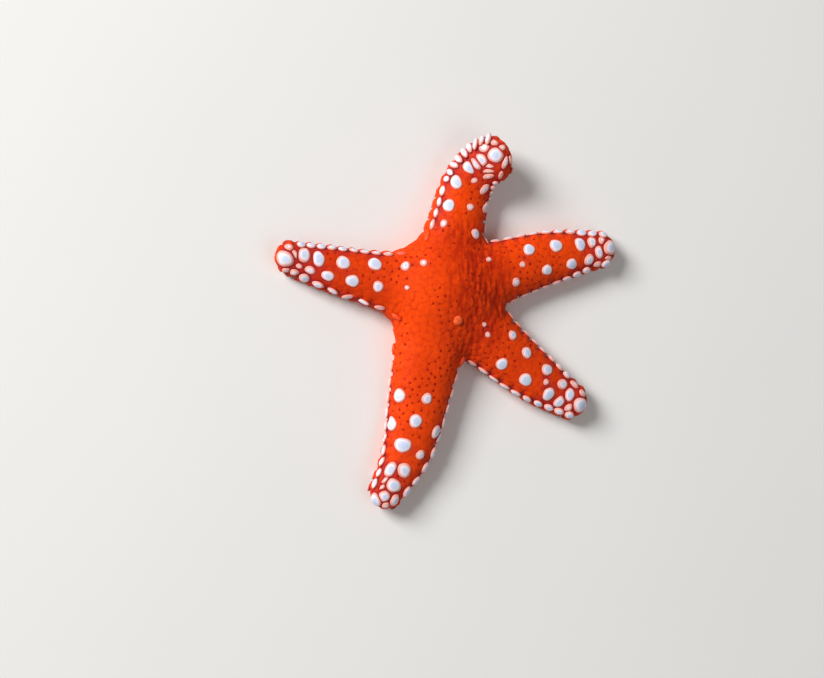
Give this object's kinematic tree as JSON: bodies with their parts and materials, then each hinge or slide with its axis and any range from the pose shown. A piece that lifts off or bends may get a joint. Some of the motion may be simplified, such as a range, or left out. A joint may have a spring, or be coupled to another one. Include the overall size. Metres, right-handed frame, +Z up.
{
  "type": "starfish",
  "caption": "Red sea star at rest: low smooth disc, blunt tapering arms with beaded margins and pale round plates, curled tips.",
  "frame": {"origin": "on the floor under the middle of the animal's box, just off the disc's centre, between arms 3 and 4", "axes": "+Z up from the floor through the back; +X towards arms 4 and 5, -X along arm 2, +Y along arm 1, -Y along arm 3"},
  "size_m": [0.0644, 0.0664, 0.0086],
  "materials": {
    "skin": "satin, living skin over fine plates",
    "tip_plates": "satin, chalky plates",
    "sieve": "matt",
    "mouth": "matt"
  },
  "bodies": {
    "root": {"central_disc": "skin", "arm_1": "skin", "arm_2": "skin", "arm_3": "skin", "arm_4": "skin", "arm_5": "skin", "arm_tip_1": "tip_plates", "arm_tip_2": "tip_plates", "arm_tip_3": "tip_plates", "arm_tip_4": "tip_plates", "arm_tip_5": "tip_plates", "sieve_plate": "sieve", "mouth_ring": "mouth"}
  },
  "joints": []
}
